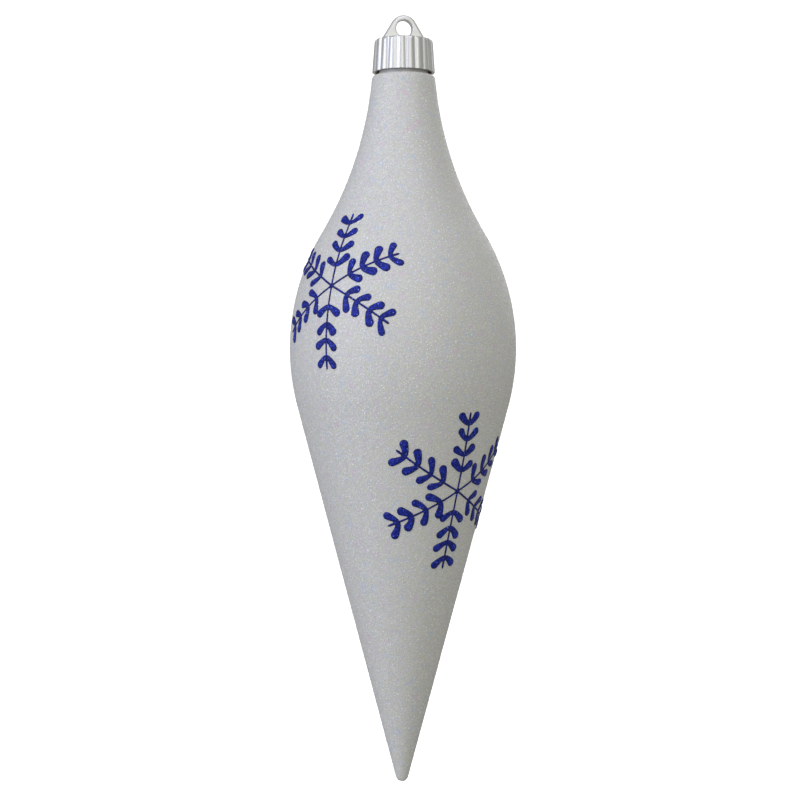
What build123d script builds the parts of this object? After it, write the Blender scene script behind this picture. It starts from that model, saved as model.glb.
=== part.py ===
from build123d import *
import os
from math import acos, asin, atan2, cos, degrees, hypot, radians, sin, sqrt, tan

# Hanging icicle ornament: a hollow two-part drop under a glitter coat, with raised
# snowflakes, hung from a fluted cap that pushes onto the drop's neck.
# Millimetres and degrees. The origin is the centre of the hole in the cap's eye, +Z is
# up and the hole runs along Y. Depths are measured down from the origin.

# Eye on top of the cap
eye_hole_radius = 3.5
eye_wall = 2.15
eye_thickness = 3.6
eye_foot_inset = 1.6  # from the edge of the cap's flat top in to the eye's foot
eye_edge_round = 1.1
eye_hole_round = 0.55
eye_foot_round = 0.4

# Cap
cap_top_below_hole = 1.2  # from the bottom of the hole to the cap's top face
cap_height = 13.6
cap_top_thickness = 1.4
cap_wall = 1.0
cap_draft = 4.2  # the skirt widens downwards, inside and outside
cap_top_round = 1.1
flute_count = 20
flute_depth = 0.55
flute_rib_round = 1.9
grip_rib_count = 10
grip_rib_height = 0.4  # at the top of the skirt
grip_rib_width = 0.8
grip_rib_rim_gap = 2.0  # the ribs stop this far above the rim

# Neck of the drop, inside the cap
neck_radius = 10.2
neck_chamfer = 0.5
grip_clearance = 0.05  # between the neck and the ribs that hold it
seat_clearance = 0.05  # between the top of the neck and the cap's ceiling
rim_gap = 1.6  # between the cap's rim and the drop's shoulder

# Outline of the moulded drop
shoulder_radius = 12.9
shoulder_round = 1.4
flare_arc_radius = 154.5
belly_radius = 46.9
belly_below_shoulder = 113.6
belly_arc_radius = 93.8
cone_half_angle = 15.0
tip_round = 2.4
wall = 1.2

# Lap joint between the two halves, at the widest point
lap_height = 4.0
lap_clearance = 0.05
lap_end_gap = 0.3

# Coat and snowflakes
coat_thickness = 0.3
coat_neck_gap = 0.4  # bare ring round the foot of the neck
flake_height = 0.45
flake_arm_count = 6
flake_arm_length = 33.5
flake_hub_radius = 1.1
stem_width = 0.9
leaf_pair_count = 4
first_leaf_at = 8.6  # from the flake's centre to the foot of the first pair
leaf_pitch = 6.4
leaf_length = 6.9
leaf_foot_radius = 0.5
leaf_tip_radius = 1.55
leaf_angle = 50.0
upper_flake_along = 96.6  # from the shoulder's top edge, along the drop's outline
lower_flake_along = 180.8
upper_flake_azimuth = -143.9  # anticlockwise from +X, seen from above
lower_flake_azimuth = -64.1
upper_back_turn = 180.0  # from the front snowflake of a row round to the one behind
lower_back_turn = 165.0
cut_margin = 6.0  # how far cutting bodies reach past what they cut

# Worked-out depths and radii
eye_radius = eye_hole_radius + eye_wall
cap_top = eye_hole_radius + cap_top_below_hole
cap_ceiling = cap_top + cap_top_thickness
cap_rim = cap_top + cap_height
neck_top = cap_ceiling + seat_clearance
shoulder = cap_rim + rim_gap
belly = shoulder + belly_below_shoulder
grip_radius = neck_radius + grip_clearance
cap_bore_radius = grip_radius + grip_rib_height
cap_top_radius = cap_bore_radius + cap_wall + flute_depth
cap_spread = cap_height * tan(radians(cap_draft))


def at(centre, radius, angle):
    """The point of a circle at an angle, as (radius from the axis, height)."""
    return (
        centre[0] + radius * cos(radians(angle)),
        centre[1] + radius * sin(radians(angle)),
    )


def crossing(centre_a, radius_a, centre_b, radius_b):
    """Where two circles cross, on the side further from the axis."""
    dx, dz = centre_b[0] - centre_a[0], centre_b[1] - centre_a[1]
    apart = hypot(dx, dz)
    along = (apart**2 + radius_a**2 - radius_b**2) / (2 * apart)
    aside = sqrt(radius_a**2 - along**2)
    points = [
        (
            centre_a[0] + (along * dx - side * aside * dz) / apart,
            centre_a[1] + (along * dz + side * aside * dx) / apart,
        )
        for side in (-1, 1)
    ]
    return max(points)


# The arcs of the outline. Growing the drop keeps their centres, so a wall or a coat
# stays tangent all the way down.
corner = (shoulder_radius, -shoulder)
belly_centre = (belly_radius - belly_arc_radius, -belly)
flare_centre = crossing(
    belly_centre, belly_arc_radius + flare_arc_radius, corner, flare_arc_radius
)
bend_angle = degrees(
    atan2(flare_centre[1] - belly_centre[1], flare_centre[0] - belly_centre[0])
)
cone_top = at(belly_centre, belly_arc_radius, -cone_half_angle)
cone_apex = cone_top[1] - cone_top[0] / tan(radians(cone_half_angle))
tip_centre = (0, cone_apex + tip_round / sin(radians(cone_half_angle)))


def arc(centre, radius, start, end):
    """Arc from one angle to another, anticlockwise if end is the larger."""
    return ThreePointArc(
        at(centre, radius, start),
        at(centre, radius, (start + end) / 2),
        at(centre, radius, end),
    )


def outline(grow, rounded=True):
    """The drop's outline from its top face down to the tip, grown outwards."""
    top = -shoulder + grow
    if rounded:
        middle_height = -shoulder - shoulder_round
        reach = flare_arc_radius + shoulder_round
        middle = (
            flare_centre[0] - sqrt(reach**2 - (middle_height - flare_centre[1]) ** 2),
            middle_height,
        )
        lean = degrees(asin((flare_centre[1] - middle_height) / reach))
        edges = [arc(middle, shoulder_round + grow, 90, lean)]
        flare_start = 180 + lean
    else:
        lean = degrees(asin((flare_centre[1] - top) / (flare_arc_radius - grow)))
        edges = []
        flare_start = 180 + lean
    edges.append(
        arc(flare_centre, flare_arc_radius - grow, flare_start, 180 + bend_angle)
    )
    edges.append(
        arc(belly_centre, belly_arc_radius + grow, bend_angle, -cone_half_angle)
    )
    edges.append(
        Line(
            at(belly_centre, belly_arc_radius + grow, -cone_half_angle),
            at(tip_centre, tip_round + grow, -cone_half_angle),
        )
    )
    edges.append(arc(tip_centre, tip_round + grow, -cone_half_angle, -90))
    return edges


def turned(edges):
    """Solid of revolution about Z from a closed outline of (radius, height) edges."""
    face = Plane.XZ * make_face(edges)
    return revolve(face, Axis.Z)


def drop_body(grow, rounded=True):
    """The whole drop, solid, grown outwards, with a flat top at the shoulder."""
    edges = outline(grow, rounded)
    start = edges[0] @ 0
    end = edges[-1] @ 1
    edges.append(Line(end, (0, start.Y)))
    edges.append(Line((0, start.Y), start))
    return turned(edges)


def tube(outer, inner, low, high):
    """Plain tube about Z between two heights."""
    height = high - low
    ring = Cylinder(outer, height) - Cylinder(inner, height)
    return Pos(0, 0, (low + high) / 2) * ring


def block(radius, low, high):
    """Plain cylinder about Z between two heights."""
    return Pos(0, 0, (low + high) / 2) * Cylinder(radius, high - low)


def upper_half():
    """Neck, shoulder, flare and upper belly, with a rebate for the lap."""
    span = belly_radius + cut_margin
    skin = drop_body(0) - drop_body(-wall, rounded=False)
    skin &= block(span, -belly, -shoulder + cut_margin)
    neck_outside = block(neck_radius, -shoulder - wall, -neck_top)
    top_edge = neck_outside.edges().group_by(Axis.Z)[-1]
    neck = chamfer(top_edge, neck_chamfer)
    half = skin + neck
    half -= block(neck_radius - wall, -shoulder - 2 * wall, -neck_top + cut_margin)
    rebate_radius = belly_radius - wall / 2 + lap_clearance / 2
    half -= block(rebate_radius, -belly - cut_margin, -belly + lap_height + lap_end_gap)
    return half


def lower_half():
    """Lower belly and cone, with the spigot of the lap."""
    span = belly_radius + cut_margin
    low = tip_centre[1] - tip_round - cut_margin
    skin = drop_body(0) - drop_body(-wall, rounded=False)
    skin &= block(span, low, -belly)
    spigot_radius = belly_radius - wall / 2 - lap_clearance / 2
    spigot = tube(
        spigot_radius, belly_radius - wall, -belly - wall / 2, -belly + lap_height
    )
    return skin + spigot


def glitter_coat():
    """Thin coat over both halves, open round the neck."""
    coat = drop_body(coat_thickness) - drop_body(0)
    opening = block(
        neck_radius + coat_neck_gap, -shoulder - cut_margin, -shoulder + cut_margin
    )
    return coat - opening


def fluted_section(crest_radius):
    """Cross-section of ribs and scallops, tangent to each other."""
    half_pitch = 180 / flute_count
    root_radius = crest_radius - flute_depth
    rib_centre = crest_radius - flute_rib_round
    inner = root_radius - flute_rib_round
    scallop_centre = (inner**2 - rib_centre**2) / (
        2 * (inner - rib_centre * cos(radians(half_pitch)))
    )
    scallop_round = scallop_centre - root_radius
    share = flute_rib_round / (flute_rib_round + scallop_round)
    edges = []
    for i in range(flute_count):
        joints = []
        for side in (-1, 1):
            rib = Vector(rib_centre, 0).rotate(Axis.Z, 2 * i * half_pitch)
            scallop = Vector(scallop_centre, 0).rotate(
                Axis.Z, (2 * i + side) * half_pitch
            )
            joints.append(rib + (scallop - rib) * share)
        crest = Vector(crest_radius, 0).rotate(Axis.Z, 2 * i * half_pitch)
        root = Vector(root_radius, 0).rotate(Axis.Z, (2 * i + 1) * half_pitch)
        next_joint = joints[0].rotate(Axis.Z, 2 * half_pitch)
        edges.append(ThreePointArc(joints[0], crest, joints[1]))
        edges.append(ThreePointArc(joints[1], root, next_joint))
    return make_face(edges)


def eye():
    """Rounded triangular eye, its foot sunk into the cap's top."""
    half_width = cap_top_radius - cap_top_round - eye_foot_inset
    lean = degrees(
        atan2(-cap_top, half_width) + acos(eye_radius / hypot(half_width, cap_top))
    )
    foot = -cap_top - cap_top_thickness / 2
    tangent = at((0, 0), eye_radius, lean)
    foot_x = tangent[0] + (tangent[1] - foot) * tan(radians(lean))
    edges = [
        ThreePointArc(tangent, (0, eye_radius), (-tangent[0], tangent[1])),
        Line((-tangent[0], tangent[1]), (-foot_x, foot)),
        Line((-foot_x, foot), (foot_x, foot)),
        Line((foot_x, foot), tangent),
    ]
    plate = extrude(Plane.XZ * make_face(edges), eye_thickness / 2, both=True)
    faces = plate.faces().sort_by(Axis.Y)
    rims = faces[0].edges() + faces[-1].edges()
    rims = [e for e in rims if e.center().Z > foot + eye_edge_round]
    plate = fillet(rims, eye_edge_round)
    hole = Rot(90, 0, 0) * Cylinder(eye_hole_radius, eye_thickness + cut_margin)
    plate -= hole
    faces = plate.faces().sort_by(Axis.Y)
    rims = [
        e
        for e in faces[0].edges() + faces[-1].edges()
        if e.geom_type == GeomType.CIRCLE and e.radius < eye_radius - eye_edge_round
    ]
    return fillet(rims, eye_hole_round)


def fluted_cap():
    """Plated cap: fluted skirt, closed top, eye, and ribs inside that grip the neck."""
    section = Pos(0, 0, -cap_top) * fluted_section(cap_top_radius)
    skirt = extrude(section, cap_height, dir=(0, 0, -1), taper=-cap_draft)
    # A rounded top edge, shared by ribs and scallops.
    rim_reach = cap_top_radius + cap_spread + cut_margin
    dome_low = -cap_top - cap_top_round
    dome_middle = (cap_top_radius - cap_top_round, dome_low)
    skirt &= turned(
        [
            Line((0, -cap_top), (dome_middle[0], -cap_top)),
            arc(dome_middle, cap_top_round, 90, 0),
            Line((cap_top_radius, dome_low), (rim_reach, -cap_rim)),
            Line((rim_reach, -cap_rim), (0, -cap_rim)),
            Line((0, -cap_rim), (0, -cap_top)),
        ]
    )
    bore_spread = (cap_rim - cap_ceiling) * tan(radians(cap_draft))
    bore = turned(
        [
            Line((0, -cap_ceiling), (cap_bore_radius, -cap_ceiling)),
            Line((cap_bore_radius, -cap_ceiling), (cap_bore_radius + bore_spread, -cap_rim)),
            Line((cap_bore_radius + bore_spread, -cap_rim), (0, -cap_rim)),
            Line((0, -cap_rim), (0, -cap_ceiling)),
        ]
    )
    cap = skirt - bore + eye()
    foot = [
        e
        for e in cap.edges()
        if abs(e.center().Z + cap_top) < 1e-4
        and abs(e.center().Y) < eye_thickness
        and abs(e.center().X) < cap_top_radius - cap_top_round - 1e-3
    ]
    cap = fillet(foot, eye_foot_round)
    # Grip ribs: straight inside, sunk into the drafted wall.
    rib_low = -cap_rim + grip_rib_rim_gap
    rib_depth = grip_rib_height + bore_spread + cap_wall / 2
    rib_height = -cap_ceiling - rib_low
    ribs = []
    for i in range(grip_rib_count):
        rib = Pos(
            grip_radius + rib_depth / 2, 0, (rib_low - cap_ceiling) / 2
        ) * Box(rib_depth, grip_rib_width, rib_height)
        ribs.append(Rot(0, 0, 360 * (i + 0.5) / grip_rib_count) * rib)
    outside = cap_bore_radius + bore_spread + cap_wall / 2
    trim = turned(
        [
            Line((0, -cap_ceiling), (cap_bore_radius + cap_wall / 2, -cap_ceiling)),
            Line((cap_bore_radius + cap_wall / 2, -cap_ceiling), (outside, -cap_rim)),
            Line((outside, -cap_rim), (0, -cap_rim)),
            Line((0, -cap_rim), (0, -cap_ceiling)),
        ]
    )
    for rib in ribs:
        cap += rib & trim
    return cap


def leaf():
    """Flat teardrop leaf along +X, its narrow foot at the origin."""
    reach = leaf_length - leaf_tip_radius
    lean = degrees(asin((leaf_tip_radius - leaf_foot_radius) / reach))
    foot_top = at((0, 0), leaf_foot_radius, 90 + lean)
    tip_top = at((reach, 0), leaf_tip_radius, 90 + lean)
    foot_low = (foot_top[0], -foot_top[1])
    tip_low = (tip_top[0], -tip_top[1])
    return make_face(
        [
            Line(foot_top, tip_top),
            ThreePointArc(tip_top, (leaf_length, 0), tip_low),
            Line(tip_low, foot_low),
            ThreePointArc(foot_low, (-leaf_foot_radius, 0), foot_top),
        ]
    )


def flat_arm():
    """One arm along +X from the flake's centre: a stem with pairs of leaves."""
    arm = Pos(flake_arm_length / 2, 0) * Rectangle(flake_arm_length, stem_width)
    for i in range(leaf_pair_count):
        foot = first_leaf_at + i * leaf_pitch
        for side in (-1, 1):
            arm += Pos(foot, 0) * Rot(0, 0, side * leaf_angle) * leaf()
    return arm


def place_on_drop(meridian, along, across, azimuth, heading):
    """Plane on the coat at a flake's centre plus along (up) and across, X at heading.

    heading is measured from straight up, clockwise seen from outside."""
    point = meridian.position_at(along, position_mode=PositionMode.LENGTH)
    slope = meridian.tangent_at(along, position_mode=PositionMode.LENGTH)
    turn = azimuth + degrees(across / point.X)
    to_side = Vector(1, 0, 0).rotate(Axis.Z, turn + 90)
    up = Vector(-slope.X, 0, -slope.Y).rotate(Axis.Z, turn)
    outwards = to_side.cross(up)
    x_dir = up * cos(radians(heading)) + to_side * sin(radians(heading))
    origin = Vector(point.X, 0, point.Y).rotate(Axis.Z, turn)
    return Plane(origin=origin, x_dir=x_dir, z_dir=outwards)


def snowflake(layer, meridian, along, azimuth):
    """Six-armed snowflake, cut out of the thin layer that lies on the coat."""
    arm = flat_arm()
    stamp = None
    for i in range(flake_arm_count):
        heading = 360 * i / flake_arm_count
        up = flake_arm_length / 2 * cos(radians(heading))
        across = flake_arm_length / 2 * sin(radians(heading))
        plane = place_on_drop(meridian, along - up, across, azimuth, heading)
        flat = Pos(-flake_arm_length / 2, 0) * arm
        prism = extrude(plane * flat, cut_margin, both=True)
        stamp = prism if stamp is None else stamp + prism
    centre = place_on_drop(meridian, along, 0, azimuth, 0)
    stamp += extrude(centre * Circle(flake_hub_radius), cut_margin, both=True)
    return stamp & layer


def write(name, shape):
    solids = ShapeList(shape.solids())
    whole = solids[0] if len(solids) == 1 else Compound(children=solids)
    export_step(whole, os.path.join("parts", name + ".step"))


def main():
    os.makedirs("parts", exist_ok=True)
    write("fluted_cap", fluted_cap())
    write("upper_body_half", upper_half())
    write("lower_body_half", lower_half())
    write("glitter_coat", glitter_coat())
    layer = drop_body(coat_thickness + flake_height) - drop_body(coat_thickness)
    meridian = Wire(outline(coat_thickness))
    rows = (
        ("upper_snowflake", upper_flake_along, upper_flake_azimuth, upper_back_turn),
        ("lower_snowflake", lower_flake_along, lower_flake_azimuth, lower_back_turn),
    )
    for name, along, azimuth, back_turn in rows:
        flake = snowflake(layer, meridian, along, azimuth)
        write(f"{name}_front", flake)
        write(f"{name}_back", Rot(0, 0, back_turn) * flake)


main()
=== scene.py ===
# Icicle hanging ornament: the finishes and the fine shapes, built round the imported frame.
import math
import random
import bmesh
import bpy
import numpy as np
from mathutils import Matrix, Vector, noise


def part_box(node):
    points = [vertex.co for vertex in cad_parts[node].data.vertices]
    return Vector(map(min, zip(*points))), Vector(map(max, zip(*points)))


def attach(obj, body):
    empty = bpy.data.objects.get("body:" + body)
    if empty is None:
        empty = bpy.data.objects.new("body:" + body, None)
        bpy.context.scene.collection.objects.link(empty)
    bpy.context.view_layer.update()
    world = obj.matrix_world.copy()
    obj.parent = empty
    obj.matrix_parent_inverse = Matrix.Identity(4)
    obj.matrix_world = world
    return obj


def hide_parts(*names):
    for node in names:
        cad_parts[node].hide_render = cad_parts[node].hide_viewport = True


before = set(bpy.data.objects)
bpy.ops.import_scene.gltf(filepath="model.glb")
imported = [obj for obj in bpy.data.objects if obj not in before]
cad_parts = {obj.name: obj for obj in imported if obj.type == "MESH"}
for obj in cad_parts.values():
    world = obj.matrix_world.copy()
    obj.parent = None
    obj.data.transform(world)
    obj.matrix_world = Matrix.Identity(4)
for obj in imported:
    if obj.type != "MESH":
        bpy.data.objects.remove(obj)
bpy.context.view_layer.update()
capLow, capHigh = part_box("fluted_cap")
coatLow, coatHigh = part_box("glitter_coat")
scene = bpy.context.scene
print("frame loaded:", ", ".join(sorted(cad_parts)))


def hexColour(code):
    channels = [int(code[i : i + 2], 16) / 255 for i in (0, 2, 4)]
    return [c / 12.92 if c <= 0.04045 else ((c + 0.055) / 1.055) ** 2.4 for c in channels] + [1.0]


def addNode(tree, kind, settings=None, inputs=None):
    node = tree.nodes.new(kind)
    for name, value in (settings or {}).items():
        setattr(node, name, value)
    for name, value in (inputs or {}).items():
        if isinstance(value, bpy.types.NodeSocket):
            tree.links.new(value, node.inputs[name])
        else:
            node.inputs[name].default_value = value
    return node


def setRamp(node, stops, interpolation="LINEAR"):
    ramp = node.color_ramp
    ramp.interpolation = interpolation
    while len(ramp.elements) < len(stops):
        ramp.elements.new(0.5)
    for element, (place, code) in zip(ramp.elements, stops):
        element.position = place
        element.color = hexColour(code)
    return node


def newMaterial(name):
    material = bpy.data.materials.new(name)
    material.use_nodes = True
    tree = material.node_tree
    tree.nodes.clear()
    shader = addNode(tree, "ShaderNodeBsdfPrincipled")
    addNode(tree, "ShaderNodeOutputMaterial", inputs={"Surface": shader.outputs["BSDF"]})
    return material, tree, shader


def addPiece(name, mesh, material=None):
    piece = bpy.data.objects.new(name, mesh)
    scene.collection.objects.link(piece)
    if material:
        mesh.materials.clear()
        mesh.materials.append(material)
    return piece


def readVectors(items, name):
    values = np.empty(len(items) * 3, dtype=np.float32)
    items.foreach_get(name, values)
    return values.reshape(-1, 3)


def plainMesh(piece):
    graph = bpy.context.evaluated_depsgraph_get()
    return bpy.data.meshes.new_from_object(piece.evaluated_get(graph), depsgraph=graph)


dropShape = {  # metres and degrees, the moulded drop without its coat
    "shoulderRadius": 0.0129,
    "shoulderRound": 0.0014,
    "flareArc": 0.1545,
    "bellyRadius": 0.0469,
    "bellyBelowShoulder": 0.1136,
    "bellyArc": 0.0938,
    "coneHalfAngle": 15.0,
    "tipRound": 0.0024,
    "coat": 0.0003,
    "neckOpening": 0.0106,
    "surfaceStep": 0.0003,  # between the outline's points that the snowflakes are laid along
}


def arcPoints(centre, radius, start, end, step):
    count = max(10, math.ceil(math.radians(abs(end - start)) * radius / step))
    angles = np.radians(np.linspace(start, end, count + 1))
    return np.stack([centre[0] + radius * np.cos(angles), centre[1] + radius * np.sin(angles)], 1)


def dropOutline(grow, step):
    # points (radius, height) from the shoulder's top edge down to the tip
    d = dropShape
    shoulder = coatHigh.z - d["coat"]
    belly = (d["bellyRadius"] - d["bellyArc"], shoulder - d["bellyBelowShoulder"])
    dx, dz = d["shoulderRadius"] - belly[0], shoulder - belly[1]
    apart, reach = math.hypot(dx, dz), d["bellyArc"] + d["flareArc"]
    along = (apart**2 + reach**2 - d["flareArc"] ** 2) / (2 * apart)
    aside = math.sqrt(reach**2 - along**2)
    flare = (belly[0] + (along * dx + aside * dz) / apart, belly[1] + (along * dz - aside * dx) / apart)
    bend = math.degrees(math.atan2(flare[1] - belly[1], flare[0] - belly[0]))
    edgeReach, edgeZ = d["flareArc"] + d["shoulderRound"], shoulder - d["shoulderRound"]
    edge = (flare[0] - math.sqrt(edgeReach**2 - (edgeZ - flare[1]) ** 2), edgeZ)
    lean = math.degrees(math.asin((flare[1] - edgeZ) / edgeReach))
    cone = d["coneHalfAngle"]
    coneTop = arcPoints(belly, d["bellyArc"], 0, -cone, step)[-1]
    apex = coneTop[1] - coneTop[0] / math.tan(math.radians(cone))
    tip = (0.0, apex + d["tipRound"] / math.sin(math.radians(cone)))
    parts = [
        arcPoints(edge, d["shoulderRound"] + grow, 90, lean, step),
        arcPoints(flare, d["flareArc"] - grow, 180 + lean, 180 + bend, step),
        arcPoints(belly, d["bellyArc"] + grow, bend, -cone, step),
        arcPoints(tip, d["tipRound"] + grow, -cone, -90, step),
    ]
    start, end = parts[2][-1], parts[3][0]
    count = math.ceil(np.linalg.norm(end - start) / step)
    parts.insert(3, np.linspace(start, end, count + 1)[:-1])
    return np.concatenate([parts[0]] + [p[1:] for p in parts[1:]])


surfaceOutline = dropOutline(dropShape["coat"], dropShape["surfaceStep"])
surfaceLengths = np.concatenate([[0], np.cumsum(np.linalg.norm(np.diff(surfaceOutline, axis=0), axis=1))])
surfaceSlopes = np.gradient(surfaceOutline, surfaceLengths, axis=0)


def onOutline(along):
    # radius, height and their slopes at lengths along the coat's outline
    columns = (surfaceOutline[:, 0], surfaceOutline[:, 1], surfaceSlopes[:, 0], surfaceSlopes[:, 1])
    return [np.interp(along, surfaceLengths, column) for column in columns]


def wrapOnDrop(flat, along, azimuth, steps=40):
    # lays flat points (across, up, height) on the coat, each along its own straightest path from the centre
    reach = np.hypot(flat[:, 0], flat[:, 1])
    heading = np.arctan2(flat[:, 0], flat[:, 1])
    place, turn = np.full(len(flat), along), np.full(len(flat), math.radians(azimuth))
    stride = reach / steps
    for _ in range(steps):
        radius, _z, slope, _zSlope = onOutline(place)
        midPlace = place - np.cos(heading) * stride / 2
        midHeading = heading + slope * np.sin(heading) / radius * stride / 2
        radius, _z, slope, _zSlope = onOutline(midPlace)
        place = place - np.cos(midHeading) * stride
        turn = turn + np.sin(midHeading) / radius * stride
        heading = heading + slope * np.sin(midHeading) / radius * stride
    radius, height, slope, zSlope = onOutline(place)
    radius = radius - zSlope * flat[:, 2]
    height = height + slope * flat[:, 2]
    return np.stack([radius * np.sin(turn), -radius * np.cos(turn), height], 1)


flakeMix = {
    "smallest": 0.55,  # shares of the flake radius
    "largest": 1.25,
    "sides": 6,
    "toneSeed": 7,
}


def glitterTree():
    # scatters flat glitter flakes on the faces that are in one band of a surface
    tree = bpy.data.node_groups.new("glitterScatter", "GeometryNodeTree")
    sockets = (
        ("Surface", "NodeSocketGeometry"),
        ("Band", "NodeSocketFloat"),
        ("Flakes Per Square Metre", "NodeSocketFloat"),
        ("Flake Radius", "NodeSocketFloat"),
        ("Lift", "NodeSocketFloat"),
        ("Tilt", "NodeSocketFloat"),
        ("Seed", "NodeSocketInt"),
        ("Material", "NodeSocketMaterial"),
    )
    for name, kind in sockets:
        tree.interface.new_socket(name=name, in_out="INPUT", socket_type=kind)
    tree.interface.new_socket(name="Glitter", in_out="OUTPUT", socket_type="NodeSocketGeometry")
    given = addNode(tree, "NodeGroupInput").outputs
    band = addNode(tree, "GeometryNodeInputNamedAttribute", {"data_type": "FLOAT"}, {"Name": "band"})
    inBand = addNode(
        tree,
        "ShaderNodeMath",
        {"operation": "COMPARE"},
        {0: band.outputs["Attribute"], 1: given["Band"], 2: 0.5},
    )
    points = addNode(
        tree,
        "GeometryNodeDistributePointsOnFaces",
        {"distribute_method": "RANDOM"},
        {
            "Mesh": given["Surface"],
            "Selection": inBand.outputs[0],
            "Density": given["Flakes Per Square Metre"],
            "Seed": given["Seed"],
        },
    )
    # a flake is a flat top closed underneath by a point that sinks into the glue
    flake = addNode(
        tree,
        "GeometryNodeMeshCone",
        {"fill_type": "NGON"},
        {
            "Vertices": flakeMix["sides"],
            "Radius Top": given["Flake Radius"],
            "Radius Bottom": 0.0,
            "Depth": given["Flake Radius"],
        },
    )
    drop = addNode(
        tree, "ShaderNodeMath", {"operation": "SUBTRACT"}, {0: given["Lift"], 1: given["Flake Radius"]}
    )
    shift = addNode(tree, "ShaderNodeCombineXYZ", inputs={"Z": drop.outputs[0]})
    placed = addNode(
        tree,
        "GeometryNodeTransform",
        inputs={"Geometry": flake.outputs["Mesh"], "Translation": shift.outputs[0]},
    )
    least = addNode(tree, "ShaderNodeMath", {"operation": "MULTIPLY"}, {0: given["Tilt"], 1: -1.0})
    low = addNode(tree, "ShaderNodeCombineXYZ", inputs={"X": least.outputs[0], "Y": least.outputs[0]})
    high = addNode(
        tree, "ShaderNodeCombineXYZ", inputs={"X": given["Tilt"], "Y": given["Tilt"], "Z": 2 * math.pi}
    )
    angles = addNode(
        tree,
        "FunctionNodeRandomValue",
        {"data_type": "FLOAT_VECTOR"},
        {0: low.outputs[0], 1: high.outputs[0], "Seed": given["Seed"]},
    )
    tilt = addNode(tree, "FunctionNodeEulerToRotation", inputs={"Euler": angles.outputs[0]})
    turned = addNode(
        tree,
        "FunctionNodeRotateRotation",
        {"rotation_space": "LOCAL"},
        {"Rotation": points.outputs["Rotation"], "Rotate By": tilt.outputs[0]},
    )
    size = addNode(
        tree,
        "FunctionNodeRandomValue",
        {"data_type": "FLOAT"},
        {2: flakeMix["smallest"], 3: flakeMix["largest"], "Seed": given["Seed"]},
    )
    flakes = addNode(
        tree,
        "GeometryNodeInstanceOnPoints",
        inputs={
            "Points": points.outputs["Points"],
            "Instance": placed.outputs[0],
            "Rotation": turned.outputs[0],
            "Scale": size.outputs[1],
        },
    )
    tone = addNode(
        tree,
        "FunctionNodeRandomValue",
        {"data_type": "FLOAT"},
        {2: 0.0, 3: 1.0, "Seed": flakeMix["toneSeed"]},
    )
    toned = addNode(
        tree,
        "GeometryNodeStoreNamedAttribute",
        {"data_type": "FLOAT", "domain": "INSTANCE"},
        {"Geometry": flakes.outputs[0], "Name": "flakeTone", "Value": tone.outputs[1]},
    )
    real = addNode(tree, "GeometryNodeRealizeInstances", inputs={"Geometry": toned.outputs[0]})
    coloured = addNode(
        tree,
        "GeometryNodeSetMaterial",
        inputs={"Geometry": real.outputs[0], "Material": given["Material"]},
    )
    addNode(tree, "NodeGroupOutput", inputs={"Glitter": coloured.outputs[0]})
    return tree


glitter = glitterTree()


def countFlakes(mesh):
    return len(mesh.polygons) // (flakeMix["sides"] + 1)


def scatterGlitter(name, surface, values):
    carrier = addPiece(name, surface.data.copy())
    modifier = carrier.modifiers.new("glitter", "NODES")
    modifier.node_group = glitter
    for item in glitter.interface.items_tree:
        if item.in_out == "INPUT" and item.name in values:
            modifier[item.identifier] = values[item.name]
    mesh = plainMesh(carrier)
    carrier.modifiers.clear()
    carrier.data = mesh
    for polygon in mesh.polygons:
        polygon.use_smooth = False
    return carrier


def setBand(mesh, bands):
    attribute = mesh.attributes.new("band", "FLOAT", "FACE")
    attribute.data.foreach_set("value", np.asarray(bands, dtype=np.float32))


capFinishSize = {
    "ceilingAboveRim": 0.0122,  # metres
    "outsideAboveRim": 0.0128,  # everything higher than this is outside the cap
    "boreAtCeiling": 0.01065,
    "draft": 4.2,  # degrees
    "filmFade": 0.0006,  # the film thickens over this much, from the bore outwards
    "sinkSize": 0.004,
    "sinkDepth": 0.0002,
    "hazeSize": 0.0011,
    "roughness": (0.42, 0.5),
}


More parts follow.
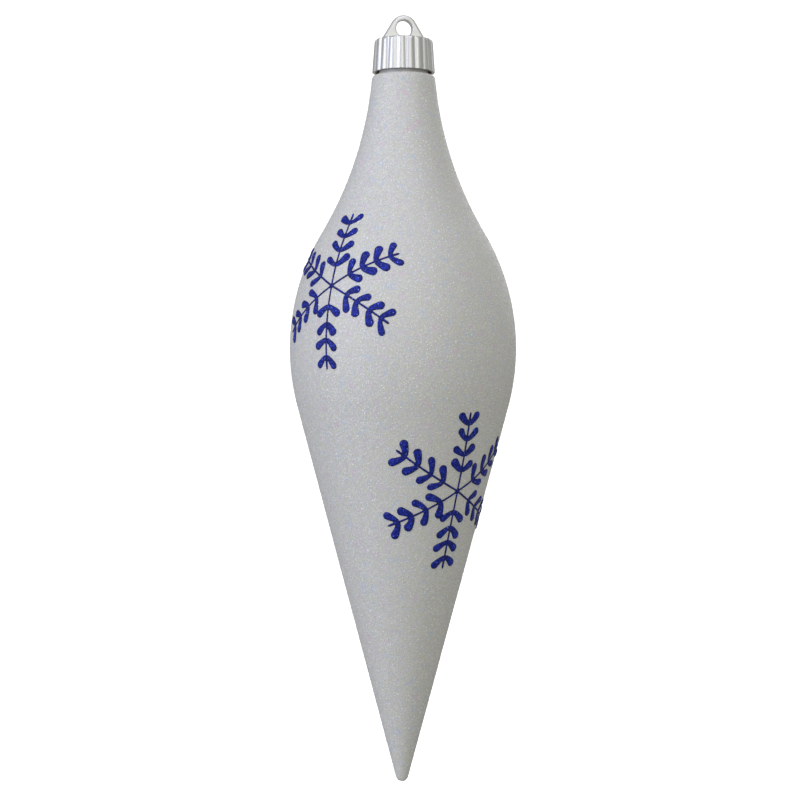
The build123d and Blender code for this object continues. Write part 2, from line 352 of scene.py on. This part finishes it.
def metallisedPolystyrene():
    # Injection-moulded polystyrene with a vacuum-metallised aluminium film: a hazy, satin silver
    # that ripples a little where the moulding sank. The film hardly reaches inside, which looks brown.
    s = capFinishSize
    material, tree, shader = newMaterial("metallisedPolystyrene")
    coords = addNode(tree, "ShaderNodeTexCoord").outputs["Object"]
    sink = addNode(
        tree, "ShaderNodeTexNoise", inputs={"Vector": coords, "Scale": 1 / s["sinkSize"], "Detail": 3.0}
    )
    haze = addNode(
        tree, "ShaderNodeTexNoise", inputs={"Vector": coords, "Scale": 1 / s["hazeSize"], "Detail": 4.0}
    )
    level = addNode(
        tree, "ShaderNodeVectorMath", {"operation": "MULTIPLY"}, {0: coords, 1: (1.0, 1.0, 0.0)}
    )
    radius = addNode(tree, "ShaderNodeVectorMath", {"operation": "LENGTH"}, {0: level.outputs[0]})
    height = addNode(tree, "ShaderNodeSeparateXYZ", inputs={"Vector": coords}).outputs["Z"]
    # straightened as if the skirt had no draft
    spread = math.tan(math.radians(s["draft"]))
    straight = addNode(
        tree,
        "ShaderNodeMath",
        {"operation": "MULTIPLY_ADD"},
        {0: height, 1: spread, 2: radius.outputs["Value"]},
    )
    bore = s["boreAtCeiling"] + (capLow.z + s["ceilingAboveRim"]) * spread
    plated = addNode(
        tree,
        "ShaderNodeMapRange",
        inputs={"Value": straight.outputs[0], "From Min": bore, "From Max": bore + s["filmFade"]},
    )
    onTop = addNode(
        tree,
        "ShaderNodeMath",
        {"operation": "GREATER_THAN"},
        {0: height, 1: capLow.z + s["outsideAboveRim"]},
    )
    covered = addNode(
        tree, "ShaderNodeMath", {"operation": "MAXIMUM"}, {0: plated.outputs[0], 1: onTop.outputs[0]}
    )
    film = addNode(tree, "ShaderNodeValToRGB", inputs={"Fac": covered.outputs[0]})
    setRamp(film, ((0.0, "8a7862"), (0.5, "a08c74"), (1.0, "e8e8ea")))
    smoothest, roughest = s["roughness"]
    rough = addNode(
        tree,
        "ShaderNodeMapRange",
        inputs={
            "Value": haze.outputs[0],
            "From Min": 0.3,
            "From Max": 0.7,
            "To Min": smoothest,
            "To Max": roughest,
        },
    )
    ripple = addNode(
        tree,
        "ShaderNodeBump",
        inputs={"Strength": 0.3, "Distance": s["sinkDepth"], "Height": sink.outputs[0]},
    )
    tree.links.new(film.outputs[0], shader.inputs["Base Color"])
    tree.links.new(covered.outputs[0], shader.inputs["Metallic"])
    tree.links.new(rough.outputs[0], shader.inputs["Roughness"])
    tree.links.new(ripple.outputs[0], shader.inputs["Normal"])
    return material


bodyFinishSize = {
    "flowSize": 0.00714,  # metres
    "flowDepth": 0.0001,
    "roughness": (0.22, 0.34),
}


def mouldedPolystyrene():
    # Injection-moulded white polystyrene, unpainted: an even gloss with faint flow marks.
    s = bodyFinishSize
    material, tree, shader = newMaterial("mouldedPolystyrene")
    coords = addNode(tree, "ShaderNodeTexCoord").outputs["Object"]
    flow = addNode(
        tree, "ShaderNodeTexNoise", inputs={"Vector": coords, "Scale": 1 / s["flowSize"], "Detail": 3.0}
    )
    tint = addNode(tree, "ShaderNodeValToRGB", inputs={"Fac": flow.outputs[0]})
    setRamp(tint, ((0.3, "dfe0e1"), (0.7, "ececec")))
    rough = addNode(
        tree,
        "ShaderNodeMapRange",
        inputs={
            "Value": flow.outputs[0],
            "To Min": s["roughness"][0],
            "To Max": s["roughness"][1],
        },
    )
    skin = addNode(
        tree,
        "ShaderNodeBump",
        inputs={"Strength": 0.15, "Distance": s["flowDepth"], "Height": flow.outputs[0]},
    )
    tree.links.new(tint.outputs[0], shader.inputs["Base Color"])
    tree.links.new(rough.outputs[0], shader.inputs["Roughness"])
    tree.links.new(skin.outputs[0], shader.inputs["Normal"])
    shader.inputs["IOR"].default_value = 1.59
    return material


def facetNormal(tree, coords, grain, amount):
    # tips the surface a different way in every glitter grain, so that each catches its own light
    cells = addNode(tree, "ShaderNodeTexVoronoi", inputs={"Vector": coords, "Scale": 1 / grain})
    centred = addNode(
        tree,
        "ShaderNodeVectorMath",
        {"operation": "SUBTRACT"},
        {0: cells.outputs["Color"], 1: (0.5, 0.5, 0.5)},
    )
    tipped = addNode(
        tree, "ShaderNodeVectorMath", {"operation": "SCALE"}, {0: centred.outputs[0], "Scale": amount}
    )
    normal = addNode(tree, "ShaderNodeNewGeometry").outputs["Normal"]
    summed = addNode(
        tree, "ShaderNodeVectorMath", {"operation": "ADD"}, {0: normal, 1: tipped.outputs[0]}
    )
    unit = addNode(tree, "ShaderNodeVectorMath", {"operation": "NORMALIZE"}, {0: summed.outputs[0]})
    return cells, unit.outputs[0]


coatFinishSize = {
    "grain": 0.00045,  # metres. Real grains are about 0.2 mm, and these are coarser so that they show
    "facetTip": 0.26,  # the most tipped grains lean by half of this, as a slope
    "pearlPatch": 0.00303,
    "roughness": (0.38, 0.6),
}


def iridescentGlitterCoat():
    # Fine iridescent polyester glitter cast in clear glue over white: a bright, slightly rough
    # white that breaks into pale pink, yellow and blue.
    s = coatFinishSize
    material, tree, shader = newMaterial("iridescentGlitterCoat")
    coords = addNode(tree, "ShaderNodeTexCoord").outputs["Object"]
    cells, normal = facetNormal(tree, coords, s["grain"], s["facetTip"])
    patches = addNode(
        tree, "ShaderNodeTexNoise", inputs={"Vector": coords, "Scale": 1 / s["pearlPatch"], "Detail": 2.0}
    )
    pearl = addNode(tree, "ShaderNodeValToRGB", inputs={"Fac": patches.outputs[0]})
    setRamp(
        pearl,
        ((0.3, "eddfe7"), (0.42, "e8e9ec"), (0.52, "eaeadf"), (0.62, "e6e8ec"), (0.74, "dbe5f2")),
    )
    grainTone = addNode(tree, "ShaderNodeSeparateColor", inputs={"Color": cells.outputs["Color"]})
    grain = addNode(tree, "ShaderNodeValToRGB", inputs={"Fac": grainTone.outputs[0]})
    setRamp(grain, ((0.0, "e2e2e4"), (0.55, "ececed"), (0.9, "f3f3f3"), (1.0, "ffffff")))
    colour = addNode(
        tree,
        "ShaderNodeMix",
        {"data_type": "RGBA", "blend_type": "MULTIPLY"},
        {0: 1.0, 6: pearl.outputs[0], 7: grain.outputs[0]},
    )
    rough = addNode(
        tree,
        "ShaderNodeMapRange",
        inputs={
            "Value": grainTone.outputs[1],
            "To Min": s["roughness"][0],
            "To Max": s["roughness"][1],
        },
    )
    tree.links.new(colour.outputs[2], shader.inputs["Base Color"])
    tree.links.new(rough.outputs[0], shader.inputs["Roughness"])
    tree.links.new(normal, shader.inputs["Normal"])
    shader.inputs["IOR"].default_value = 1.5
    return material


def iridescentFlake():
    # Cut flakes of iridescent polyester film: pearly white with a soft sheen, and a pale tint
    # that changes from flake to flake.
    material, tree, shader = newMaterial("iridescentFlake")
    tone = addNode(tree, "ShaderNodeAttribute", {"attribute_name": "flakeTone"}).outputs["Fac"]
    tint = addNode(tree, "ShaderNodeValToRGB", inputs={"Fac": tone})
    setRamp(
        tint,
        (
            (0.0, "eeeef0"),
            (0.45, "e5e6e8"),
            (0.62, "eee8eb"),
            (0.75, "eeede6"),
            (0.87, "e6eaf0"),
            (0.96, "fafafa"),
        ),
        "CONSTANT",
    )
    tree.links.new(tint.outputs[0], shader.inputs["Base Color"])
    shader.inputs["Metallic"].default_value = 0.12
    shader.inputs["Roughness"].default_value = 0.4
    shader.inputs["IOR"].default_value = 1.6
    return material


blueFinishSize = {
    "grain": 0.0004,  # metres. Coarser than real fine glitter, so that it shows
    "facetTip": 0.6,
    "darkEdgeHeight": 0.00003,  # painted shade: the colour goes from near black to full between these heights of the glue
    "fullColourHeight": 0.00042,
    "roughness": (0.25, 0.5),
}


def blueGlitterGlue():
    # Blue glitter stirred into clear glue and piped on: deep ultramarine, with painted shade that turns it
    # nearly black where each line lies low, at its edges and ends.
    s = blueFinishSize
    material, tree, shader = newMaterial("blueGlitterGlue")
    coords = addNode(tree, "ShaderNodeTexCoord").outputs["Object"]
    cells, normal = facetNormal(tree, coords, s["grain"], s["facetTip"])
    tone = addNode(tree, "ShaderNodeSeparateColor", inputs={"Color": cells.outputs["Color"]})
    grain = addNode(tree, "ShaderNodeValToRGB", inputs={"Fac": tone.outputs[0]})
    setRamp(grain, ((0.0, "0b1562"), (0.5, "11249a"), (0.85, "1a34c8"), (1.0, "4260f0")))
    raised = addNode(tree, "ShaderNodeAttribute", {"attribute_name": "raised"}).outputs["Fac"]
    # painted shade: the low edges and ends of every line are darkened towards 0e1130, so that the crowns
    # look lit
    edgeShade = addNode(
        tree,
        "ShaderNodeMapRange",
        inputs={"Value": raised, "From Min": s["darkEdgeHeight"], "From Max": s["fullColourHeight"]},
    )
    colour = addNode(
        tree,
        "ShaderNodeMix",
        {"data_type": "RGBA"},
        {0: edgeShade.outputs[0], 6: hexColour("0e1130"), 7: grain.outputs[0]},
    )
    rough = addNode(
        tree,
        "ShaderNodeMapRange",
        inputs={"Value": tone.outputs[1], "To Min": s["roughness"][0], "To Max": s["roughness"][1]},
    )
    tree.links.new(colour.outputs[2], shader.inputs["Base Color"])
    tree.links.new(rough.outputs[0], shader.inputs["Roughness"])
    tree.links.new(normal, shader.inputs["Normal"])
    shader.inputs["IOR"].default_value = 1.38
    return material


def blueFlake():
    # Cut flakes of blue metallised polyester: each is a small coloured mirror.
    material, tree, shader = newMaterial("blueFlake")
    tone = addNode(tree, "ShaderNodeAttribute", {"attribute_name": "flakeTone"}).outputs["Fac"]
    tint = addNode(tree, "ShaderNodeValToRGB", inputs={"Fac": tone})
    setRamp(
        tint,
        ((0.0, "0c1460"), (0.3, "122094"), (0.6, "1a30c0"), (0.85, "2846e4"), (0.96, "7f94ff")),
        "CONSTANT",
    )
    tree.links.new(tint.outputs[0], shader.inputs["Base Color"])
    shader.inputs["Metallic"].default_value = 0.7
    shader.inputs["Roughness"].default_value = 0.3
    return material


print("materials")
capFinish = metallisedPolystyrene()
bodyFinish = mouldedPolystyrene()
coatFinish = iridescentGlitterCoat()
whiteFlakeFinish = iridescentFlake()
blueFinish = blueGlitterGlue()
blueFlakeFinish = blueFlake()

for node, finish in (
    ("fluted_cap", capFinish),
    ("upper_body_half", bodyFinish),
    ("lower_body_half", bodyFinish),
):
    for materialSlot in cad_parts[node].material_slots:
        materialSlot.material = finish


coatSize = {
    "segments": 192,
    "step": 0.0014,
    "innerStep": 0.006,
    "unevenness": 0.00008,  # how deep the glue's hollows go
    "hollowSize": 0.006,
    "bands": 4,
    "flakesPerSquareMetre": 1.15e6,
    "flakeRadius": 0.00026,
    "flakeLift": 0.00005,
    "flakeTilt": 0.3,
    "seed": 11,
}


def latheMesh(name, outline, segments):
    # turns a run of (radius, height) points round the axis. A point on the axis closes the mesh there.
    form = bmesh.new()
    rings = []
    for radius, height in outline:
        if radius < 1e-7:
            rings.append([form.verts.new((0, 0, height))])
            continue
        ring = []
        for i in range(segments):
            angle = 2 * math.pi * i / segments
            ring.append(form.verts.new((radius * math.cos(angle), radius * math.sin(angle), height)))
        rings.append(ring)
    for upper, lower in zip(rings, rings[1:]):
        for i in range(segments):
            j = (i + 1) % segments
            corners = [upper[i % len(upper)], lower[i % len(lower)]]
            corners += [lower[j % len(lower)], upper[j % len(upper)]]
            form.faces.new(list(dict.fromkeys(corners)))
    bmesh.ops.recalc_face_normals(form, faces=form.faces)
    mesh = bpy.data.meshes.new(name)
    form.to_mesh(mesh)
    form.free()
    mesh.shade_smooth()
    return mesh


def makeCoat():
    s, d = coatSize, dropShape
    shoulder = coatHigh.z - d["coat"]
    inner = dropOutline(0.0, s["innerStep"])[::-1]
    outer = dropOutline(d["coat"], s["step"])
    mouth = np.array([[d["neckOpening"], shoulder], [d["neckOpening"], coatHigh.z]])
    outline = np.concatenate([inner, mouth, outer])
    mesh = latheMesh("glitterCoat", outline, s["segments"])
    # the inner wall starts at a pole of one vertex, and the mouth adds two rings to it
    firstOuter = 1 + (len(inner) - 1 + len(mouth)) * s["segments"]
    places, normals = readVectors(mesh.vertices, "co"), readVectors(mesh.vertices, "normal")
    for i in range(firstOuter, len(places)):
        hollow = 0.5 + 0.5 * noise.noise(Vector(places[i] / s["hollowSize"]))
        places[i] -= normals[i] * s["unevenness"] * hollow
    mesh.vertices.foreach_set("co", places.ravel())
    mesh.update()
    centres, facing = readVectors(mesh.polygons, "center"), readVectors(mesh.polygons, "normal")
    flatTop = (facing[:, 2] > 0.9) & (centres[:, 2] > shoulder)
    outside = ((facing * centres)[:, :2].sum(axis=1) > 0) | flatTop
    # bands of about equal area, so that no glitter piece grows too large
    areas = np.array([polygon.area for polygon in mesh.polygons]) * outside
    order = np.argsort(-centres[:, 2])
    share = np.empty(len(centres))
    share[order] = np.cumsum(areas[order]) / areas.sum()
    bands = np.where(outside, 1 + np.minimum(np.floor(share * s["bands"]), s["bands"] - 1), 0)
    setBand(mesh, bands)
    return addPiece("glitterCoat", mesh, coatFinish)


print("glitter coat")
coat = makeCoat()
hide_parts("glitter_coat")
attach(coat, "drop")
for band in range(1, coatSize["bands"] + 1):
    flakes = scatterGlitter(
        f"whiteGlitter{band}",
        coat,
        {
            "Band": float(band),
            "Flakes Per Square Metre": coatSize["flakesPerSquareMetre"],
            "Flake Radius": coatSize["flakeRadius"],
            "Lift": coatSize["flakeLift"],
            "Tilt": coatSize["flakeTilt"],
            "Seed": coatSize["seed"] + band,
            "Material": whiteFlakeFinish,
        },
    )
    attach(flakes, "drop")
    print("  white flakes, band", band, ":", countFlakes(flakes.data))


snowflakeSize = {  # metres and degrees
    "armLength": 0.0332,
    "armPoints": 40,
    "armSway": 0.0004,
    "armTurnSpread": 1.2,
    "stemHalfWidth": 0.00046,
    "stemEndHalfWidth": 0.0006,
    "stemWidens": (0.8, 0.94),  # shares of the arm between which it does
    "stemHeight": 0.00026,
    "stemRounds": (0.02, 0.04),  # shares of the arm over which its two ends draw in
    "stemSides": 8,
    "hubRadius": 0.0010,
    "hubPoints": 12,
    "hubHeight": 0.8,  # share of the leaf's
    "pairs": 4,
    "firstPair": 0.0087,
    "pairPitch": 0.0064,
    "pairSpread": 0.0003,
    "leafPoints": 18,
    "leafLength": 0.0070,
    "leafLengthSpread": 0.08,  # shares, as is the width's
    "leafWidthSpread": 0.12,
    "leafRoot": 0.00085,  # half widths
    "leafTip": 0.00172,
    "leafHeight": 0.00044,
    "leafRootHeight": 0.6,  # share of the tip's
    "leafRounds": (0.06, 0.24),
    "leafTopRounds": (0.06, 0.3),
    "leafAside": 0.0001,  # from the middle of the arm to the middle of the leaf's root
    "rootAngle": 60.0,  # off the arm where the leaf leaves it
    "rootAngleSpread": 8,
    "leafBend": 22.0,  # it then bends back towards the arm's tip by this much
    "leafBendSpread": 12,
    "sink": 0.3,  # share of the section's lower half that goes into the coat
    "voxel": 0.00024,  # the strokes are fused into one form at this grain
    "stretch": 2.6,  # heights are stretched while the strokes are fused
    "softenSteps": 3,
    "lumpSize": 0.0009,
    "lumpDepth": 0.14,  # share of the height
    "flakesFrom": 0.00013,  # glitter shows where the glue is at least this thick
    "flakesPerSquareMetre": 4.6e6,
    "flakeRadius": 0.0002,
    "flakeLift": 0.00004,
    "flakeTilt": 0.5,
}
# Each row: CAD node, metres along the outline from the shoulder's top edge, degrees from the
# front, seed, then how far each hand-piped arm turns off its sixth, and how long it came out.
snowflakePlaces = (
    ("upper_snowflake_front", 0.0966, -53.9, 3, (0, 0, -3, 0, 0, 0), (1, 0.94, 0.95, 1.03, 1, 1)),
    ("upper_snowflake_back", 0.0966, 126.1, 5, (1, -2, 0, 2, -1, 0), (1, 1.02, 0.98, 1, 0.97, 1)),
    ("lower_snowflake_front", 0.1808, 25.9, 8, (0, 0, 0, 0, -3.5, -4.5), (1, 1, 1, 1, 0.98, 1)),
    ("lower_snowflake_back", 0.1808, 190.9, 13, (0, 2, -1, 0, 1, -2), (1, 0.98, 1.02, 1, 1, 0.97)),
)


def addStroke(form, line, widths, heights, sides=14):
    # a closed, rounded stroke of glue along a flat line
    tangents = np.gradient(line, axis=0)
    tangents /= np.linalg.norm(tangents, axis=1)[:, None]
    rings = []
    for point, tangent, width, height in zip(line, tangents, widths, heights):
        ring = []
        for i in range(sides):
            angle = 2 * math.pi * i / sides
            aside, lift = width * math.cos(angle), height * math.sin(angle)
            if lift < 0:
                lift *= snowflakeSize["sink"]
            x, y = point[0] - tangent[1] * aside, point[1] + tangent[0] * aside
            ring.append(form.verts.new((x, y, lift * snowflakeSize["stretch"])))
        rings.append(ring)
    for near, far in zip(rings, rings[1:]):
        for i in range(sides):
            j = (i + 1) % sides
            form.faces.new((near[i], near[j], far[j], far[i]))
    form.faces.new(rings[0][::-1])
    form.faces.new(rings[-1])


def roundedEnds(count, start, end, startRound, endRound):
    # widths from start to end, drawn in to a blunt point over the given shares at both ends
    share = np.linspace(0, 1, count)
    swell, blunt = 0.8, 0.02  # how early it widens, and how much of a ring is left at the ends
    width = start + (end - start) * np.clip(share / (1 - endRound), 0, 1) ** swell
    cap = np.clip((1 - share) / endRound, blunt, 1)
    foot = np.clip(share / startRound, blunt, 1)
    return width * np.sqrt(1 - (1 - cap) ** 2) * np.sqrt(1 - (1 - foot) ** 2)


def drawLeaf(form, foot, heading, side, chance):
    s = snowflakeSize
    count = s["leafPoints"]
    lengthSpread, widthSpread = s["leafLengthSpread"], s["leafWidthSpread"]
    length = s["leafLength"] * chance.uniform(1 - lengthSpread, 1 + lengthSpread)
    start = s["rootAngle"] + chance.uniform(-s["rootAngleSpread"], s["rootAngleSpread"])
    start = heading + side * math.radians(start)
    turn = s["leafBend"] + chance.uniform(-s["leafBendSpread"], s["leafBendSpread"])
    turn = -side * math.radians(turn)
    line = [foot]
    for i in range(count - 1):
        angle = start + turn * (i + 0.5) / (count - 1)
        step = length / (count - 1)
        line.append(line[-1] + step * np.array([math.sin(angle), math.cos(angle)]))
    wide = chance.uniform(1 - widthSpread, 1 + widthSpread)
    widths = roundedEnds(count, s["leafRoot"] * wide, s["leafTip"] * wide, *s["leafRounds"])
    rootHeight = s["leafHeight"] * s["leafRootHeight"]
    heights = roundedEnds(count, rootHeight, s["leafHeight"], *s["leafTopRounds"])
    addStroke(form, np.array(line), widths, heights)


def drawSnowflake(seed, turns, stretches):
    s = snowflakeSize
    chance = random.Random(seed)
    form = bmesh.new()
    for arm, (turn, stretch) in enumerate(zip(turns, stretches)):
        turn += chance.uniform(-s["armTurnSpread"], s["armTurnSpread"])
        heading = 2 * math.pi * arm / len(turns) + math.radians(turn)
        out = np.array([math.sin(heading), math.cos(heading)])
        across = np.array([out[1], -out[0]])
        count = s["armPoints"]
        share = np.linspace(0, 1, count)
        sway = chance.uniform(-s["armSway"], s["armSway"]) * np.sin(math.pi * share)
        line = share[:, None] * out * s["armLength"] * stretch + sway[:, None] * across
        width = np.interp(share, s["stemWidens"], (s["stemHalfWidth"], s["stemEndHalfWidth"]))
        ends = roundedEnds(count, 1, 1, *s["stemRounds"])
        addStroke(form, line, width * ends, ends * s["stemHeight"], s["stemSides"])
        for pair in range(s["pairs"]):
            place = s["firstPair"] + pair * s["pairPitch"]
            place += chance.uniform(-s["pairSpread"], s["pairSpread"])
            place = s["firstPair"] + (place - s["firstPair"]) * stretch
            index = place / s["armLength"] / stretch * (count - 1)
            foot = np.array([np.interp(index, np.arange(count), line[:, k]) for k in (0, 1)])
            for side in (-1, 1):
                drawLeaf(form, foot + side * across * s["leafAside"], heading, side, chance)
    # the hub is one short stroke, as wide as it is long, which stops just short of a point
    reach = np.linspace(-0.98, 0.98, s["hubPoints"])
    hub = reach[:, None] * np.array([0, s["hubRadius"]])
    hubHeights = np.full(s["hubPoints"], s["leafHeight"] * s["hubHeight"])
    addStroke(form, hub, s["hubRadius"] * np.sqrt(1 - reach**2), hubHeights)
    bmesh.ops.recalc_face_normals(form, faces=form.faces)
    mesh = bpy.data.meshes.new("strokes")
    form.to_mesh(mesh)
    form.free()
    return mesh


def makeSnowflake(node, along, azimuth, seed, turns, stretches):
    s = snowflakeSize
    pieceName = "".join(word.capitalize() if i else word for i, word in enumerate(node.split("_")))
    piece = addPiece(pieceName, drawSnowflake(seed, turns, stretches))
    fuse = piece.modifiers.new("fuse", "REMESH")
    fuse.mode = "VOXEL"
    fuse.voxel_size = s["voxel"]
    soften = piece.modifiers.new("soften", "SMOOTH")
    soften.factor, soften.iterations = 0.5, s["softenSteps"]
    mesh = plainMesh(piece)
    piece.modifiers.clear()
    flat = readVectors(mesh.vertices, "co").astype(float)
    spots = flat[:, :2] / s["lumpSize"]
    lumps = np.array([noise.noise(Vector((x, y, seed))) for x, y in spots])
    raised = flat[:, 2] / s["stretch"] * (1 + s["lumpDepth"] * lumps)
    flat[:, 2] = raised
    mesh.vertices.foreach_set("co", wrapOnDrop(flat, along, azimuth).ravel())
    mesh.update()
    heights = mesh.attributes.new("raised", "FLOAT", "POINT")
    heights.data.foreach_set("value", raised.astype(np.float32))
    mesh.materials.clear()
    mesh.materials.append(blueFinish)
    mesh.shade_smooth()
    tops = [min(raised[i] for i in polygon.vertices) > s["flakesFrom"] for polygon in mesh.polygons]
    setBand(mesh, tops)
    piece.data = mesh
    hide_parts(node)
    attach(piece, "drop")
    flakes = scatterGlitter(
        pieceName + "Glitter",
        piece,
        {
            "Band": 1.0,
            "Flakes Per Square Metre": s["flakesPerSquareMetre"],
            "Flake Radius": s["flakeRadius"],
            "Lift": s["flakeLift"],
            "Tilt": s["flakeTilt"],
            "Seed": seed,
            "Material": blueFlakeFinish,
        },
    )
    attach(flakes, "drop")
    print("  ", pieceName, len(mesh.polygons), "faces and", countFlakes(flakes.data), "flakes")


print("snowflakes")
for place in snowflakePlaces:
    makeSnowflake(*place)


sweepSize = {
    "floorGap": 0.05,  # from the tip down to the floor
    "floorRadius": 1.7,
    "roundRadius": 0.8,
    "roundSteps": 16,
    "wallHeight": 4.0,
    "segments": 96,
    "fibre": 0.025,
}
cameraView = {
    "azimuth": -13.3,
    "lens": 85.0,  # millimetres, as is the sensor's width
    "sensor": 36.0,
    "distance": 0.7895,
    "aimRight": -0.0012,
    "aimUp": -0.0007,
    "roll": -0.13,
}


def makeSweep():
    # white paper on the floor, curved up into a wall all the way round
    s = sweepSize
    floor = coatLow.z - s["floorGap"]
    outline = [(0.0, floor), (s["floorRadius"], floor)]
    for i in range(1, s["roundSteps"] + 1):
        angle = math.radians(90 * i / s["roundSteps"])
        out = s["floorRadius"] + s["roundRadius"] * math.sin(angle)
        outline.append((out, floor + s["roundRadius"] * (1 - math.cos(angle))))
    outline.append((outline[-1][0], floor + s["wallHeight"]))
    mesh = latheMesh("paperSweep", outline, s["segments"])
    material, tree, shader = newMaterial("whitePaper")
    coords = addNode(tree, "ShaderNodeTexCoord").outputs["Object"]
    fibre = addNode(tree, "ShaderNodeTexNoise", inputs={"Vector": coords, "Scale": 1 / s["fibre"]})
    tint = addNode(tree, "ShaderNodeValToRGB", inputs={"Fac": fibre.outputs[0]})
    setRamp(tint, ((0.3, "f6f6f6"), (0.7, "fafafa")))
    tree.links.new(tint.outputs[0], shader.inputs["Base Color"])
    shader.inputs["Roughness"].default_value = 0.9
    shader.inputs["Emission Color"].default_value = hexColour("ffffff")
    shader.inputs["Emission Strength"].default_value = 1.0
    material.cycles.emission_sampling = "NONE"  # the softboxes do the lighting
    sweep = addPiece("paperSweep", mesh, material)
    sweep.visible_diffuse = False
    sweep.visible_glossy = False
    sweep.visible_shadow = False


def viewAxes():
    turn = math.radians(cameraView["azimuth"])
    right = Vector((math.cos(turn), math.sin(turn), 0))
    front = Vector((math.sin(turn), -math.cos(turn), 0))
    return right, front


# each: metres right, up and towards the camera from the drop's middle, width, height, watts, colour
softboxes = {
    "keySoftbox": (-0.75, 0.4, 0.5, 0.5, 0.7, 2.75, "e6eaff"),
    "lowKeySoftbox": (-0.75, -0.15, 0.5, 0.5, 0.7, 1.65, "e6eaff"),
    "frontSoftbox": (0.25, 0.35, 1.1, 0.7, 0.7, 2.15, "fcfdf0"),
    "topSoftbox": (0.15, 0.9, 0.5, 0.7, 0.5, 2.25, "ececfc"),
    "backSoftbox": (0.45, 0.5, -1.0, 0.8, 0.8, 2.4, "fbfcff"),
}


def makeLights():
    middle = Vector((0, 0, (capHigh.z + coatLow.z) / 2))
    right, front = viewAxes()
    for name, (side, up, toCamera, width, height, watts, code) in softboxes.items():
        light = bpy.data.lights.new(name, "AREA")
        light.shape = "RECTANGLE"
        light.size, light.size_y = width, height
        light.energy = watts
        light.color = hexColour(code)[:3]
        softbox = bpy.data.objects.new(name, light)
        scene.collection.objects.link(softbox)
        softbox.location = middle + right * side + front * toCamera + Vector((0, 0, up))
        softbox.rotation_euler = (middle - softbox.location).to_track_quat("-Z", "Y").to_euler()
    world = bpy.data.worlds.new("softRoom")
    scene.world = world
    world.use_nodes = True
    tree = world.node_tree
    tree.nodes.clear()
    background = addNode(tree, "ShaderNodeBackground", inputs={"Color": hexColour("9d9d97")})
    addNode(tree, "ShaderNodeOutputWorld", inputs={"Surface": background.outputs[0]})


def makeCamera():
    v = cameraView
    right, front = viewAxes()
    aim = Vector((0, 0, (capHigh.z + coatLow.z) / 2 + v["aimUp"])) + right * v["aimRight"]
    data = bpy.data.cameras.new("camera")
    data.lens, data.sensor_width = v["lens"], v["sensor"]
    camera = bpy.data.objects.new("camera", data)
    scene.collection.objects.link(camera)
    camera.location = aim + front * v["distance"]
    camera.rotation_euler = [math.radians(angle) for angle in (90, v["roll"], v["azimuth"])]
    scene.camera = camera


print("stage, light and camera")
makeSweep()
makeLights()
makeCamera()
scene.view_settings.view_transform = "Standard"
